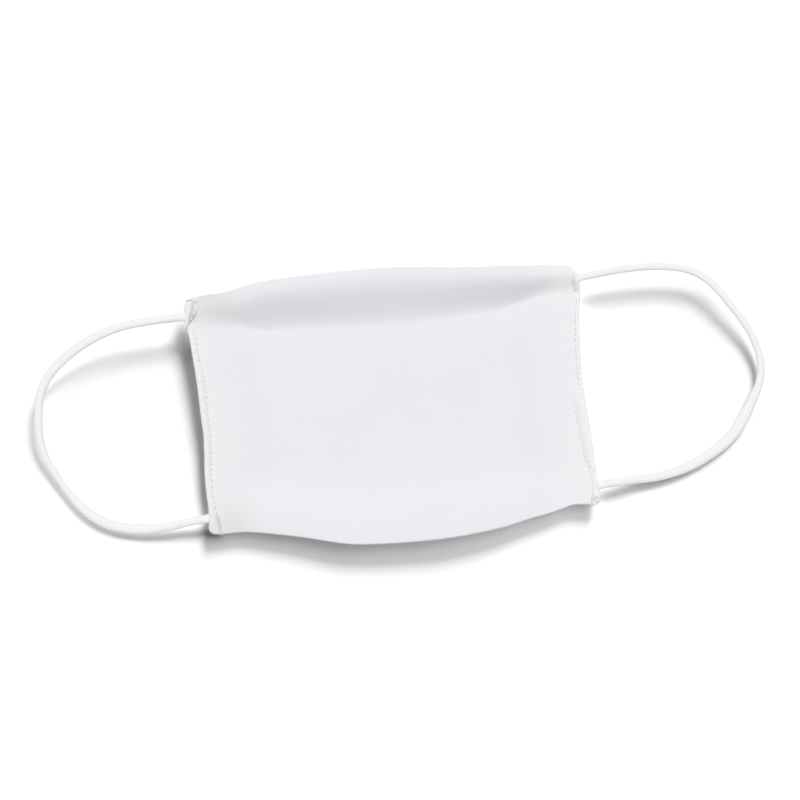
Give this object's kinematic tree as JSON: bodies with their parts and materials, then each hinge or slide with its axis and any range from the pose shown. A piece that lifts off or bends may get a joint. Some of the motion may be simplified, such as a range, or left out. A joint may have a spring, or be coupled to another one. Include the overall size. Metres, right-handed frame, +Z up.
{
  "type": "reusable cloth face mask",
  "caption": "Flat white cloth face mask with folded side hems and an elastic ear loop at each side, lying with its edges curled up.",
  "frame": {"origin": "middle of the mask's footprint (panel and hems, without the ear loops) on the surface that it lies on", "axes": "+X across the mask to its right side, +Y to its upper edge, +Z up, away from the surface"},
  "size_m": [0.3492, 0.1345, 0.0125],
  "materials": {
    "panel_cloth": "matt white polyester twill",
    "hem_cloth": "matt white polyester twill, folded and stitched in cream thread",
    "elastic": "knitted flat oval elastic, warm white with fine lengthwise ribs"
  },
  "bodies": {
    "root": {"mask_panel": "panel_cloth", "side_hem_left": "hem_cloth", "side_hem_right": "hem_cloth", "ear_loop_left": "elastic", "ear_loop_right": "elastic"}
  },
  "joints": []
}
